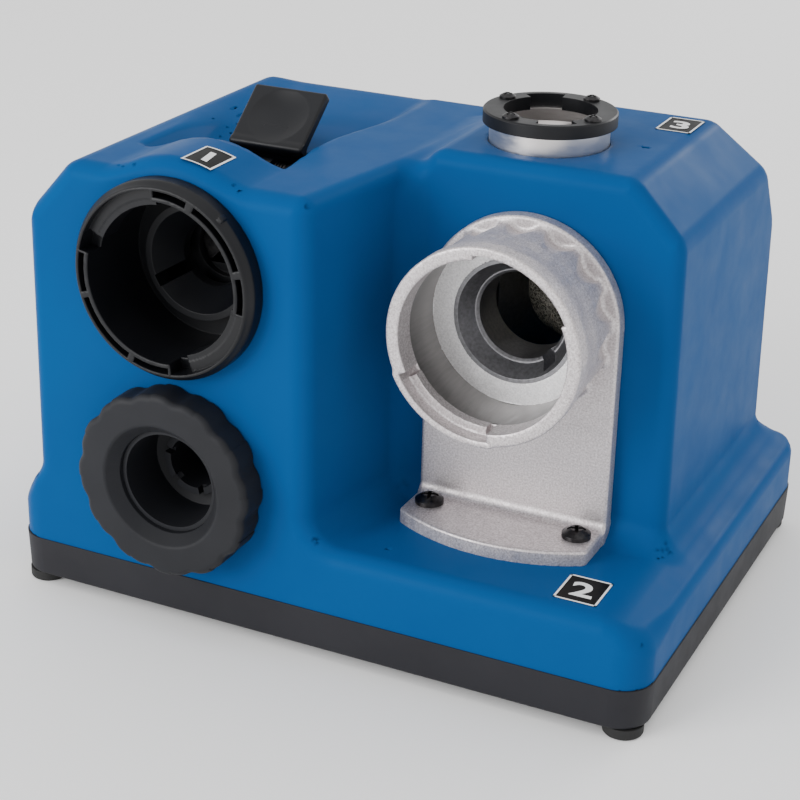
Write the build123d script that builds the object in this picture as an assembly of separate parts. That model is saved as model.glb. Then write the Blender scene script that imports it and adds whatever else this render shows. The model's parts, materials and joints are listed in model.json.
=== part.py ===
from build123d import *
import os
from math import cos, degrees, pi, radians, sin

# Bench drill bit sharpener.  Millimetres, +X to the operator's right, +Y to the back, +Z up.
# The origin is the centre of the base's footprint, on the surface that the feet stand on.

# ---------------------------------------------------------------- driving dimensions
WIDTH, DEPTH = 245.6, 185.2          # moulded skirt of the housing
CORNER_R = 12.0                      # plan corners of skirt and tray
WALL = 2.6                           # moulded wall thickness
FOOT_H = 4.0
SEAM_Z = 19.3                        # where the housing sits on the tray
SKIRT_Z = 36.5                       # top of the vertical skirt
LEDGE_Z = 43.0                       # inner edge of the sloping ledge, and the recess floor
FRONT_Y = -DEPTH / 2
BACK_Y = DEPTH / 2
WALL_BACK_Y = 84.0                   # back wall above the ledge
LEFT_X, LEFT_TOP_X = -109.6, -108.3  # left wall at its foot and at its chamfer
RIGHT_X, RIGHT_TOP_X = 108.4, 106.9
TOP_LEFT_Z = 166.5                   # top of the left block
TOP_RIGHT_Z = 172.0                  # platform around the top port
BLOCK_Y = -36.0                      # front face of the right block
RIGHT_FACE_X = 8.2                   # where that face meets the left block
BACK_BREAK_Z = 126.0                 # where the back wall starts to slope forward

PORT_X = -51.2                       # alignment port and storage socket
ALIGN_Z = 132.7
STORE_Z = 59.3
HUMP_R = 40.5
TUBE_R = 31.2                        # tubes of both front ports, inside the housing
HUMP_BACK_Y = -63.0
SHARP_X, SHARP_Z = 54.0, 121.0       # sharpening port, axis along Y
SPLIT_X, SPLIT_Y = 46.8, -4.7        # splitting port, axis along Z

POINT_ANGLE = 118.0                  # included angle ground on a twist drill
WHEEL_R, WHEEL_W = 25.0, 16.0
TIP_ACROSS = -4.75                   # drill tip to the wheel's middle, along the spindle
SHAFT_R = 4.0
MOTOR_HOLES = [(17 * cos(radians(a)), 17 * sin(radians(a))) for a in (45, 135, 225, 315)]
MOUNT_FOOT_Z = 24.0
MOTOR_R = 24.0
MOTOR_NEAR, MOTOR_FAR = -22.0, -72.0  # along the spindle, from the wheel's middle

LEVER_W = 29.4                       # width of the lever's paddle

FIT = 0.05                           # radial running clearance
GAP = 0.4                            # clearance between moving bodies


# ---------------------------------------------------------------- helpers
def face_of(plane, points, inset=0.0):
    face = make_face(plane * Polyline(*points, close=True))
    if inset:
        face = offset(face, -inset, kind=Kind.INTERSECTION)
    return face


def prism_xz(points, y0, y1, inset=0.0):
    return Pos(0, y0, 0) * extrude(face_of(Plane.XZ, points, inset), y1 - y0, dir=(0, 1, 0))


def prism_yz(points, x0, x1, inset=0.0):
    return Pos(x0, 0, 0) * extrude(face_of(Plane.YZ, points, inset), x1 - x0, dir=(1, 0, 0))


def prism_xy(points, z0, z1, inset=0.0):
    return Pos(0, 0, z0) * extrude(face_of(Plane.XY, points, inset), z1 - z0, dir=(0, 0, 1))


def turned_y(profile, x, z):
    """Solid of revolution about a line along Y; the profile is (radius, y)."""
    face = make_face(Polyline(*profile, close=True))
    return Pos(x, 0, z) * revolve(face, Axis.Y, 360)


def turned_z(profile, x, y):
    """Solid of revolution about a line along Z; the profile is (radius, z)."""
    face = make_face(Plane.XZ * Polyline(*profile, close=True))
    return Pos(x, y, 0) * revolve(face, Axis.Z, 360)


def rod_y(radius, x, z, y0, y1):
    return Pos(x, (y0 + y1) / 2, z) * Rot(90, 0, 0) * Cylinder(radius, y1 - y0)


def rod_z(radius, x, y, z0, z1):
    return Pos(x, y, (z0 + z1) / 2) * Cylinder(radius, z1 - z0)


def rod_x(radius, y, z, x0, x1):
    return Pos((x0 + x1) / 2, y, z) * Rot(0, 90, 0) * Cylinder(radius, x1 - x0)


def block(x0, x1, y0, y1, z0, z1):
    return Pos((x0 + x1) / 2, (y0 + y1) / 2, (z0 + z1) / 2) * Box(x1 - x0, y1 - y0, z1 - z0)


def sector_y(x, z, r_in, r_out, y0, y1, start, sweep):
    """Part of a ring about a line along Y; angles in degrees, 0 at +X, 90 at +Z."""
    ring = rod_y(r_out, x, z, y0, y1) - rod_y(r_in, x, z, y0 - 1, y1 + 1)
    reach = 2 * r_out
    fan = [(x, z)]
    steps = max(2, int(sweep // 45) + 2)
    for i in range(steps):
        a = radians(start + sweep * i / (steps - 1))
        fan.append((x + reach * cos(a), z + reach * sin(a)))
    return ring & prism_xz(fan, y0 - 2, y1 + 2)


def edges_near(shape, *points):
    return [min(shape.edges(), key=lambda e: (e.center() - Vector(*p)).length) for p in points]


def group(parts):
    return Compound(children=list(parts))


# ---------------------------------------------------------------- upper housing
def plinth(inset=0.0):
    low = SEAM_Z - (20 if inset else 0)
    across = prism_xz([(-WIDTH / 2, low), (WIDTH / 2, low), (WIDTH / 2, SKIRT_Z), (RIGHT_X, LEDGE_Z),
                       (LEFT_X, LEDGE_Z), (-WIDTH / 2, SKIRT_Z)], -200, 200, inset)
    along = prism_yz([(FRONT_Y, low), (BACK_Y, low), (BACK_Y, SKIRT_Z), (WALL_BACK_Y, LEDGE_Z),
                      (FRONT_Y, LEDGE_Z)], -200, 200, inset)
    plan = extrude(Pos(0, 0, low) * RectangleRounded(WIDTH - 2 * inset, DEPTH - 2 * inset,
                                                     CORNER_R - inset), 90)
    return across & along & plan


def left_block(inset=0.0):
    low = SEAM_Z + (0 if inset else 10)
    inner_x = 40.0
    across = prism_xz([(LEFT_X, low), (inner_x, low), (inner_x, TOP_LEFT_Z), (-90.2, TOP_LEFT_Z),
                       (LEFT_TOP_X, 146)], -200, 200, inset)
    along = prism_yz([(FRONT_Y, low), (WALL_BACK_Y, low), (WALL_BACK_Y - 1, BACK_BREAK_Z),
                      (44, TOP_LEFT_Z), (FRONT_Y, TOP_LEFT_Z)], -200, 200, inset)
    plan = prism_xy([(LEFT_X - 1, FRONT_Y), (-1, FRONT_Y), (RIGHT_FACE_X, BLOCK_Y), (inner_x, BLOCK_Y + 2),
                     (inner_x, WALL_BACK_Y), (LEFT_X - 1, WALL_BACK_Y)], 0, 200, inset)
    form = across & along & plan
    soft = 5.0 - inset
    form = fillet(edges_near(form, (-109, FRONT_Y, 94), (-99, FRONT_Y, 156), (-45, FRONT_Y, TOP_LEFT_Z),
                             (-1, FRONT_Y, 98)), soft)
    upper = [e for e in form.edges() if abs(e.center().X + 90.2) < 3 and e.length > 80]
    form = fillet(upper, 8 - inset)
    lower = [e for e in form.edges()
             if abs(e.center().X - LEFT_TOP_X) < 3.5 and abs(e.center().Z - 146) < 3 and e.length > 80]
    return fillet(lower, 8 - inset)


def right_block(inset=0.0):
    low = SEAM_Z + (0 if inset else 10)
    across = prism_xz([(RIGHT_FACE_X, low), (RIGHT_X, low), (RIGHT_TOP_X, 152.6), (88.5, TOP_RIGHT_Z),
                       (17, TOP_RIGHT_Z), (RIGHT_FACE_X, 160)], -200, 200, inset)
    along = prism_yz([(BLOCK_Y, low), (WALL_BACK_Y, low), (WALL_BACK_Y - 1, BACK_BREAK_Z),
                      (52, TOP_RIGHT_Z), (BLOCK_Y, TOP_RIGHT_Z)], -200, 200, inset)
    form = across & along
    soft = 6.0 - inset
    return fillet(edges_near(form, (107.5, BLOCK_Y, 91), (97.7, BLOCK_Y, 162), (52.8, BLOCK_Y, TOP_RIGHT_Z),
                             (12.6, BLOCK_Y, 166)), soft)


def hump(inset=0.0):
    drum = rod_y(HUMP_R - inset, PORT_X, ALIGN_Z, FRONT_Y + inset, HUMP_BACK_Y - inset)
    front_rim = edges_near(drum, (PORT_X, FRONT_Y + inset, ALIGN_Z))
    return fillet(front_rim, 5.0 - inset)


def lever_pocket(outset=0.0):
    across = prism_xz([(-25, 210), (-25, 150), (-68, 150), (-82, 166), (-86, 210)], -200, 200, -outset)
    along = prism_yz([(HUMP_BACK_Y, 210), (HUMP_BACK_Y, 150), (28, TOP_LEFT_Z), (36, 210)], -200, 200, -outset)
    return across & along


def housing_form(inset=0.0):
    form = plinth(inset) + left_block(inset) + right_block(inset) + hump(inset)
    return form - lever_pocket(inset)


TRAY_SCREWS = [(sx * 112.5, sy * 50.0) for sx in (-1, 1) for sy in (-1, 1)] + [(60.0, -82.0), (0.0, 83.5)]
BRACKET_SCREWS = [(SHARP_X - 27.8, -50.0), (SHARP_X + 27.8, -50.0)]


def upper_housing():
    shell = housing_form() - housing_form(WALL)
    for x, y in TRAY_SCREWS:
        boss_top = 38.8 if abs(x) > 100 else LEDGE_Z - 1.0
        shell += rod_z(4.5, x, y, SEAM_Z, boss_top)
        shell -= rod_z(1.55, x, y, SEAM_Z - 1, 36.0)
    for x, y in BRACKET_SCREWS:
        shell += rod_z(5.0, x, y, 30.0, LEDGE_Z - 1)
        shell -= rod_z(2.3, x, y, 29.0, LEDGE_Z + 1)
    shell -= rod_y(TUBE_R + 0.2, PORT_X, ALIGN_Z, FRONT_Y - 5, FRONT_Y + 6)
    shell -= rod_y(TUBE_R + 0.2, PORT_X, STORE_Z, FRONT_Y - 5, FRONT_Y + 6)
    shell -= rod_y(22.3, SHARP_X, SHARP_Z, BLOCK_Y - 5, BLOCK_Y + 5)
    shell -= rod_z(21.1, SPLIT_X, SPLIT_Y, TOP_RIGHT_Z - 6, TOP_RIGHT_Z + 4)
    shell -= rod_y(6.9, GLAND_X, GLAND_Z, BACK_Y - 6, BACK_Y + 2)
    half_w, half_h = SWITCH_BODY_W / 2 + FIT, SWITCH_BODY_H / 2 + FIT
    shell -= block(SWITCH_X - half_w, SWITCH_X + half_w, WALL_BACK_Y - 8, WALL_BACK_Y + 4,
                   SWITCH_Z - half_h, SWITCH_Z + half_h)
    for i in range(8):
        shell -= block(24 + 8 * i, 27 + 8 * i, WALL_BACK_Y - 8, WALL_BACK_Y + 4, 62, 112)
    shell -= block(PORT_X - LEVER_W / 2 - 1.2, -26.2, HUMP_BACK_Y + 0.4, -18, 135, 163.5)
    return shell

# ---------------------------------------------------------------- base
TRAY_W, TRAY_D = WIDTH + 0.8, DEPTH + 0.8
FEET = [(sx * 114.5, sy * 84.5) for sx in (-1, 1) for sy in (-1, 1)]


def base_tray():
    foot_w, foot_d = TRAY_W - 1.2, TRAY_D - 1.2
    bottom = Pos(0, 0, FOOT_H) * RectangleRounded(foot_w, foot_d, CORNER_R - 0.6)
    top = Pos(0, 0, SEAM_Z) * RectangleRounded(TRAY_W, TRAY_D, CORNER_R)
    tray = loft([bottom, top])
    tray = fillet([e for e in tray.edges() if abs(e.center().Z - FOOT_H) < 0.1], 1.5)
    hollow = Pos(0, 0, FOOT_H + WALL) * RectangleRounded(foot_w - 2 * WALL, foot_d - 2 * WALL, CORNER_R - 3)
    tray -= extrude(hollow, SEAM_Z)
    rim_out = RectangleRounded(WIDTH - 2 * WALL - 0.6, DEPTH - 2 * WALL - 0.6, CORNER_R - 2.9)
    rim_in = RectangleRounded(WIDTH - 2 * WALL - 3.4, DEPTH - 2 * WALL - 3.4, CORNER_R - 4.3)
    tray += extrude(Pos(0, 0, FOOT_H + WALL) * (rim_out - rim_in), SEAM_Z + 2.4 - FOOT_H - WALL)
    for x, y in TRAY_SCREWS:
        tray += rod_z(4.5, x, y, FOOT_H + 0.5, SEAM_Z)
        tray -= rod_z(1.9, x, y, 0, SEAM_Z + 3)
        tray -= rod_z(3.4, x, y, 0, FOOT_H + 3)
    for x, y in FEET:
        tray -= rod_z(3.0, x, y, 0, FOOT_H + 2)
    for i in range(9):
        tray -= block(20 + 8 * i, 23 + 8 * i, -62, -18, 0, FOOT_H + 5)
    return tray


def rubber_feet():
    feet = []
    for x, y in FEET:
        pad = rod_z(7.0, x, y, 0, FOOT_H)
        pad = fillet([e for e in pad.edges() if e.center().Z < 0.1], 1.0)
        feet.append(pad + rod_z(2.95, x, y, FOOT_H - 1, FOOT_H + 2))
    return group(feet)


def tray_screws():
    head_z = FOOT_H + 3
    return group([rod_z(3.0, x, y, head_z - 2, head_z) + rod_z(1.5, x, y, head_z, 33.0)
                  for x, y in TRAY_SCREWS])


# ---------------------------------------------------------------- fasteners
def pan_screw(head_r, head_h, shank_r, length, slot=0.9):
    """Cross-recessed screw; the head's seat is at z 0 and the shank points down."""
    crown = 0.25 * head_h
    head = turned_z([(0, 0), (head_r, 0), (head_r, 0.45 * head_h), (0.72 * head_r, head_h - crown),
                     (0.45 * head_r, head_h), (0, head_h)], 0, 0)
    for turn in (0, 90):
        head -= Pos(0, 0, head_h) * Rot(0, 0, turn) * Box(1.25 * head_r, slot, 1.3 * head_h)
    return head + rod_z(shank_r, 0, 0, -length, 0.2)


def bracket_screws():
    seat_z = LEDGE_Z + FOOT_T
    return group([Pos(x, y, seat_z) * Rot(0, 0, 20) * pan_screw(5.1, 3.3, 2.2, 16.0, 1.3)
                  for x, y in BRACKET_SCREWS])


# ---------------------------------------------------------------- sharpening port (front right)
PLATE_HALF = 35.0
PLATE_T = 6.0
PLATE_FRONT_Y = BLOCK_Y - PLATE_T
FOOT_T = 5.2
FOOT_SIDE_Y = -59.5
FOOT_MID_Y = -69.5
RIM_Y = -75.2
RIM_R = 34.4
RIM_BORE_R = 29.8
SEAT_Y = -47.5                       # annular floor that a chuck's flange stops on
BUSH_R = 22.0


def sharpening_bracket():
    x0, x1 = SHARP_X - PLATE_HALF, SHARP_X + PLATE_HALF
    plate = block(x0, x1, PLATE_FRONT_Y, BLOCK_Y, LEDGE_Z, SHARP_Z)
    plate += rod_y(PLATE_HALF + 0.6, SHARP_X, SHARP_Z, PLATE_FRONT_Y, BLOCK_Y)
    toe = Line((x0, BLOCK_Y), (x0, FOOT_SIDE_Y))
    nose = ThreePointArc((x0, FOOT_SIDE_Y), (SHARP_X, FOOT_MID_Y), (x1, FOOT_SIDE_Y))
    heel = Line((x1, FOOT_SIDE_Y), (x1, BLOCK_Y))
    back = Line((x1, BLOCK_Y), (x0, BLOCK_Y))
    foot = Pos(0, 0, LEDGE_Z) * extrude(make_face(Curve() + [toe, nose, heel, back]), FOOT_T)
    body = plate + foot
    body = fillet(edges_near(body, (SHARP_X, PLATE_FRONT_Y, LEDGE_Z + FOOT_T)), 2.2)
    tube = turned_y([(BUSH_R - 4, PLATE_FRONT_Y), (RIM_R - 1.6, PLATE_FRONT_Y), (RIM_R - 1.6, -50),
                     (RIM_R, -54), (RIM_R, RIM_Y + 0.6), (RIM_R - 0.6, RIM_Y), (BUSH_R - 4, RIM_Y)],
                    SHARP_X, SHARP_Z)
    body += tube
    for k in range(11):
        a = radians(-30 + 24 * k)
        body -= rod_y(5.0, SHARP_X + 38.4 * cos(a), SHARP_Z + 38.4 * sin(a), -54, PLATE_FRONT_Y)
    body -= rod_y(RIM_BORE_R, SHARP_X, SHARP_Z, RIM_Y - 1, SEAT_Y)
    body -= rod_y(BUSH_R, SHARP_X, SHARP_Z, SEAT_Y - 1, BLOCK_Y + 1)
    for start, sweep in ((22, 76), (202, 72)):
        body -= sector_y(SHARP_X, SHARP_Z, RIM_BORE_R - 1, RIM_R - 1.7, RIM_Y - 1, RIM_Y + 7, start, sweep)
    for x, y in BRACKET_SCREWS:
        body -= rod_z(2.6, x, y, LEDGE_Z - 1, LEDGE_Z + FOOT_T + 1)
    return body


def sharpening_bush():
    profile = [(BUSH_R, SEAT_Y), (BUSH_R, -30), (19, -26), (15.5, -26), (15.5, -40.5), (16.4, -41.4),
               (16.8, -41.4), (20.6, SEAT_Y)]
    bush = turned_y(profile, SHARP_X, SHARP_Z)
    key = radians(-48)
    slot = Pos(SHARP_X, 0, SHARP_Z) * Rot(0, -degrees(key), 0) * block(14, 19.6, -48, -33, -2.6, 2.6)
    return bush - slot


# ---------------------------------------------------------------- splitting port (top)
SPLIT_TUBE_R = 20.8
SPLIT_BORE_R = 15.6
SPLIT_RING_Z = 178.6
SPLIT_RING_TOP_Z = 183.2
SPLIT_RING_R = 23.2
RING_SCREWS = [162.0, 65.0, -112.0, -22.0]


def splitting_tube():
    lower = TOP_RIGHT_Z - WALL
    tube = turned_z([(SPLIT_BORE_R, 152), (SPLIT_TUBE_R, 152), (SPLIT_TUBE_R, lower - 4), (24.6, lower - 4),
                     (24.6, lower), (SPLIT_TUBE_R, lower), (SPLIT_TUBE_R, SPLIT_RING_Z),
                     (18.2, SPLIT_RING_Z), (18.2, 174), (SPLIT_BORE_R, 172.5)], SPLIT_X, SPLIT_Y)
    for a in RING_SCREWS:
        tube -= rod_z(1.2, SPLIT_X + 19.5 * cos(radians(a)), SPLIT_Y + 19.5 * sin(radians(a)), 170, 180)
    return tube


def splitting_ring():
    ring = turned_z([(16.2, SPLIT_RING_Z), (SPLIT_RING_R, SPLIT_RING_Z), (SPLIT_RING_R, SPLIT_RING_TOP_Z - 0.5),
                     (SPLIT_RING_R - 0.5, SPLIT_RING_TOP_Z), (16.2, SPLIT_RING_TOP_Z)], SPLIT_X, SPLIT_Y)
    for middle in (117, -63):
        notch = [(SPLIT_X, SPLIT_Y)]
        for a in (middle - 20, middle, middle + 20):
            notch.append((SPLIT_X + 30 * cos(radians(a)), SPLIT_Y + 30 * sin(radians(a))))
        wedge = prism_xy(notch, SPLIT_RING_Z - 1, SPLIT_RING_TOP_Z + 1)
        ring -= wedge & rod_z(20.4, SPLIT_X, SPLIT_Y, SPLIT_RING_Z - 1, SPLIT_RING_TOP_Z + 1)
    for a in RING_SCREWS:
        ring -= rod_z(1.5, SPLIT_X + 19.5 * cos(radians(a)), SPLIT_Y + 19.5 * sin(radians(a)), 178, 184)
    return ring


def ring_screws():
    screws = []
    for a in RING_SCREWS:
        x = SPLIT_X + 19.5 * cos(radians(a))
        y = SPLIT_Y + 19.5 * sin(radians(a))
        screws.append(Pos(x, y, SPLIT_RING_TOP_Z) * Rot(0, 0, a) * pan_screw(2.9, 1.7, 1.15, 10.5, 0.7))
    return group(screws)


# ---------------------------------------------------------------- alignment port (front left, upper)
ALIGN_FRONT_Y = -101.1
LIP_R = 28.3
ALIGN_BACK_Y = -66.4
POCKETS = [(70, 23), (18, 46), (-10, 23), (168, 27), (-161, 46), (-110, 25)]


def alignment_ring():
    profile = [(LIP_R, ALIGN_FRONT_Y), (33.0, ALIGN_FRONT_Y), (34.9, ALIGN_FRONT_Y + 1.6), (34.9, FRONT_Y),
               (TUBE_R, FRONT_Y), (TUBE_R, ALIGN_BACK_Y), (21.2, ALIGN_BACK_Y), (21.2, ALIGN_BACK_Y - 3),
               (LIP_R, ALIGN_BACK_Y - 3)]
    ring = turned_y(profile, PORT_X, ALIGN_Z)
    for start, sweep in POCKETS:
        ring -= sector_y(PORT_X, ALIGN_Z, 29.8, 32.0, ALIGN_FRONT_Y - 1, ALIGN_FRONT_Y + 6, start, sweep)
    for start in (-74, 106):
        ring += sector_y(PORT_X, ALIGN_Z, 23.0, LIP_R + 0.5, ALIGN_FRONT_Y + 9, ALIGN_FRONT_Y + 12, start, 92)
    nub = Pos(PORT_X, 0, ALIGN_Z) * Rot(0, -38, 0) * block(33.4, 35.3, -100, -97, -1.2, 1.2)
    return ring + nub


def alignment_cone():
    y = ALIGN_BACK_Y
    cone = turned_y([(21.0, y - 10), (21.0, y - 4), (13.8, y + 0.4), (13.8, y + 4), (11.6, y + 4),
                     (11.6, y), (18.6, y - 10)],
                    PORT_X, ALIGN_Z)
    for k in range(3):
        a = 90 + 120 * k
        cone -= Pos(PORT_X, 0, ALIGN_Z) * Rot(0, -a, 0) * block(10, 19.0, y - 11, y + 5, -2.2, 2.2)
    return cone


JAW_GAP = 1.6
JAW_Y = -54.0


def alignment_jaw(side):
    """One of the two V-jaws that centre the drill's point; side is -1 or 1."""
    wedge = prism_xz([(JAW_GAP, 0), (8.0, 7.0), (22.0, 7.0), (22.0, -7.0), (8.0, -7.0)], JAW_Y, JAW_Y + 5)
    lug = block(17.0, 22.0, JAW_Y + 4.5, LEVER_Y - 3, -3.0, 3.0)
    jaw = wedge + lug
    if side < 0:
        jaw = mirror(jaw, Plane.YZ)
    return Pos(PORT_X, 0, ALIGN_Z) * jaw


def jaw_guide():
    back, front = JAW_Y - GAP, JAW_Y - GAP - 3
    plate = block(PORT_X - 30, PORT_X + 30, front, back, ALIGN_Z - 14, ALIGN_Z + 14)
    plate -= rod_y(11.0, PORT_X, ALIGN_Z, front - 1, back + 1)
    for dz in (-9.5, 9.5):
        plate += block(PORT_X - 30, PORT_X + 30, back - 0.1, JAW_Y + 6, ALIGN_Z + dz - 2.0, ALIGN_Z + dz + 2.0)
    for dx in (-28, 28):
        plate += block(PORT_X + dx - 2, PORT_X + dx + 2, ALIGN_BACK_Y, YOKE_Y, ALIGN_Z - 11.5, ALIGN_Z + 11.5)
    return plate


# ---------------------------------------------------------------- lever
LEVER_Y, LEVER_Z = -31.0, 153.0      # pivot
YOKE_Y = -40.0
EAR_X = 12.0                         # middle of the yoke's ears, from the port's axis
PADDLE_FOOT = (-30.0, 162.4)         # (y, z) of the paddle's top face at its front and back edges
PADDLE_TIP = (-10.0, 178.8)
PADDLE_T = 4.0


def lever():
    dy, dz = PADDLE_TIP[0] - PADDLE_FOOT[0], PADDLE_TIP[1] - PADDLE_FOOT[1]
    length = (dy * dy + dz * dz) ** 0.5
    uy, uz = dy / length, dz / length
    ny, nz = -uz, uy

    def at(along, up):
        return (PADDLE_FOOT[0] + along * uy + up * ny, PADDLE_FOOT[1] + along * uz + up * nz)

    x0, x1 = PORT_X - LEVER_W / 2, PORT_X + LEVER_W / 2
    outline = [at(0, 0), at(length, 0), at(length, -PADDLE_T), at(-2, -PADDLE_T), at(-2.6, -1.6)]
    paddle = prism_yz(outline, x0, x1)
    paddle = fillet([e for e in paddle.edges() if abs(abs(e.center().X - PORT_X) - LEVER_W / 2) < 0.1], 0.9)
    dish_y, dish_z = at(length * 0.5, 30.0)
    dish = Pos(PORT_X, dish_y, dish_z) * Sphere(31.4)
    paddle -= dish
    web = prism_yz([at(1, -2), at(14, -2), (LEVER_Y + 3.5, LEVER_Z + 1), (LEVER_Y, LEVER_Z - 4),
                    (LEVER_Y - 4, LEVER_Z)], PORT_X - 4, PORT_X + 4)
    arm = prism_yz([(LEVER_Y - 3.5, LEVER_Z + 2), (LEVER_Y + 3.5, LEVER_Z - 2), (-28.5, 136), (-32.5, 136)],
                   PORT_X - 4, PORT_X + 4)
    body = paddle + web + arm + rod_x(5.0, LEVER_Y, LEVER_Z, PORT_X - 9, PORT_X + 4)
    return body - rod_x(2.0 + FIT, LEVER_Y, LEVER_Z, PORT_X - 30, PORT_X + 30)


def lever_pin():
    return rod_x(2.0, LEVER_Y, LEVER_Z, PORT_X - EAR_X - 2, PORT_X + EAR_X + 2)


def lever_bracket():
    """Yoke under the pocket that carries the lever's pin."""
    yoke = block(PORT_X - 30, PORT_X + 30, YOKE_Y, YOKE_Y + 3.5, ALIGN_Z - 15, 151.0)
    for side in (-1, 1):
        x = PORT_X + side * EAR_X
        yoke += block(x - 1.5, x + 1.5, YOKE_Y, LEVER_Y + 4, 145.0, LEVER_Z + 4)
    yoke -= block(PORT_X - 25, PORT_X + 25, YOKE_Y - 1, YOKE_Y + 5, ALIGN_Z - 8, ALIGN_Z + 8)
    return yoke - rod_x(2.0, LEVER_Y, LEVER_Z, PORT_X - 30, PORT_X + 30)


def lever_spring():
    turns, pitch, wire = 4, 1.2, 0.5
    coil_r = 3.6
    start_x = PORT_X + 5.0
    path = Helix(pitch, turns * pitch, coil_r)
    coil = sweep(Plane(origin=path @ 0, z_dir=path % 0) * Circle(wire), path=path)
    return Pos(start_x, LEVER_Y, LEVER_Z) * Rot(0, 90, 0) * coil


# ---------------------------------------------------------------- stored chuck (front left, lower)
KNOB_R = 34.4
KNOB_FRONT_Y = -104.6
KNOB_BACK_Y = FRONT_Y - GAP
KNOB_LOBES = 12
FLUTE_R, FLUTE_DEEP = 4.5, 1.4       # finger flutes around the knob


def storage_socket():
    profile = [(TUBE_R - 1.6, FRONT_Y + 0.2), (TUBE_R, FRONT_Y + 0.2), (TUBE_R, -30),
               (0, -30), (0, -32), (TUBE_R - 1.6, -32)]
    socket = turned_y(profile, PORT_X, STORE_Z)
    return socket


def chuck_knob():
    knob = turned_y([(22.8, KNOB_FRONT_Y), (31.6, KNOB_FRONT_Y), (KNOB_R, KNOB_FRONT_Y + 3.2), (KNOB_R, KNOB_BACK_Y),
                     (19.0 + FIT, KNOB_BACK_Y), (19.0 + FIT, KNOB_FRONT_Y + 4.2)], PORT_X, STORE_Z)
    for k in range(KNOB_LOBES):
        a = 2 * pi * k / KNOB_LOBES + radians(20)
        reach = KNOB_R + FLUTE_R - FLUTE_DEEP
        knob -= rod_y(FLUTE_R, PORT_X + reach * cos(a), STORE_Z + reach * sin(a),
                      KNOB_FRONT_Y - 1, KNOB_BACK_Y + 1)
    return knob


def chuck_body():
    front = KNOB_FRONT_Y + 6
    profile = [(17.4, front), (19.0, front), (19.0, -91.6), (28.6, -91.6), (28.6, -84), (20.6, -84),
               (20.6, -66), (15.2, -62), (15.2, -36), (14.2, -34), (9.1, -34), (9.1, -58.5), (12.5, -62),
               (12.5, -77), (17.4, -79)]
    body = turned_y(profile, PORT_X, STORE_Z)
    for start in (20, 200):
        body += sector_y(PORT_X, STORE_Z, 26, 29.2, -91.6, -88.0, start, 50)
    return body


def chuck_collet():
    """Six spring jaws that grip the drill, joined by a front ring."""
    ring = turned_y([(9.6, -82), (12.1, -82), (12.1, -64.8), (8.7, -61.4), (8.7, -37), (7.0, -37),
                     (7.0, -61), (9.6, -63.6)], PORT_X, STORE_Z)
    for k in range(6):
        a = 60 * k + 15
        ring -= Pos(PORT_X, 0, STORE_Z) * Rot(0, -a, 0) * block(5, 14, -64, -30, -0.7, 0.7)
        ring -= Pos(PORT_X, 0, STORE_Z) * Rot(0, -a - 30, 0) * block(5, 14, -83, -79, -1.1, 1.1)
    return ring


# ---------------------------------------------------------------- spindle and motor
LEAN = (180 - POINT_ANGLE) / 2       # angle between the spindle and the X axis
TIP = Vector(SHARP_X, -14.0, SHARP_Z)
ALONG = Vector(cos(radians(LEAN)), -sin(radians(LEAN)), 0)
AWAY = Vector(sin(radians(LEAN)), cos(radians(LEAN)), 0)
WHEEL_C = TIP + ALONG * TIP_ACROSS + AWAY * WHEEL_R
SPINDLE = Plane(origin=WHEEL_C, x_dir=(0, 0, 1), z_dir=ALONG)


def on_spindle(shape):
    return SPINDLE.location * shape


def ring_of(r_in, r_out, z0, z1):
    return rod_z(r_out, 0, 0, z0, z1) - rod_z(r_in, 0, 0, z0 - 1, z1 + 1)


def grinding_wheel():
    wheel = ring_of(SHAFT_R, WHEEL_R, -WHEEL_W / 2, WHEEL_W / 2)
    wheel -= rod_z(20, 0, 0, WHEEL_W / 2 - 3, WHEEL_W / 2 + 1)
    return on_spindle(wheel)


def wheel_nut():
    nut = Pos(0, 0, WHEEL_W / 2 - 3) * extrude(RegularPolygon(7.5, 6), 6)
    return on_spindle(nut - rod_z(SHAFT_R, 0, 0, 0, 30))


def wheel_flange():
    flange = ring_of(SHAFT_R, 10, -WHEEL_W / 2 - 3, -WHEEL_W / 2)
    return on_spindle(flange)


def spindle_shaft():
    return on_spindle(rod_z(SHAFT_R, 0, 0, MOTOR_FAR - 5, WHEEL_W / 2 + 7))


def rotor_core():
    core = ring_of(SHAFT_R, 17, MOTOR_FAR + 14, MOTOR_NEAR - 10)
    for k in range(8):
        slot = Pos(15.5, 0, (MOTOR_FAR + MOTOR_NEAR) / 2) * Box(5, 3, MOTOR_NEAR - MOTOR_FAR)
        core -= Rot(0, 0, 45 * k) * slot
    return on_spindle(core)


def commutator():
    return on_spindle(ring_of(SHAFT_R, 9, MOTOR_FAR + 2, MOTOR_FAR + 13))


def motor_can():
    can = ring_of(MOTOR_R - 1.6, MOTOR_R, MOTOR_FAR, MOTOR_NEAR)
    can += ring_of(8.0, MOTOR_R - 1, MOTOR_NEAR - 2, MOTOR_NEAR)
    for x, y in MOTOR_HOLES:
        can -= rod_z(1.7, x, y, MOTOR_NEAR - 3, MOTOR_NEAR + 1)
    return on_spindle(can)




def motor_magnets():
    shell = ring_of(18.2, MOTOR_R - 1.6, MOTOR_FAR + 14, MOTOR_NEAR - 8)
    shell -= Box(14, 80, 200)
    return on_spindle(shell)


def motor_end_cap():
    cap = ring_of(8.0, MOTOR_R, MOTOR_FAR - 5, MOTOR_FAR)
    for side in (-1, 1):
        cap -= Pos(side * 13.5, 0, MOTOR_FAR - 2) * Box(7, 6, 20)
    return on_spindle(cap)


def brushes():
    return on_spindle(group([Pos(side * 13.4, 0, MOTOR_FAR + 5) * Box(8, 5, 7) for side in (-1, 1)]))


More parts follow.
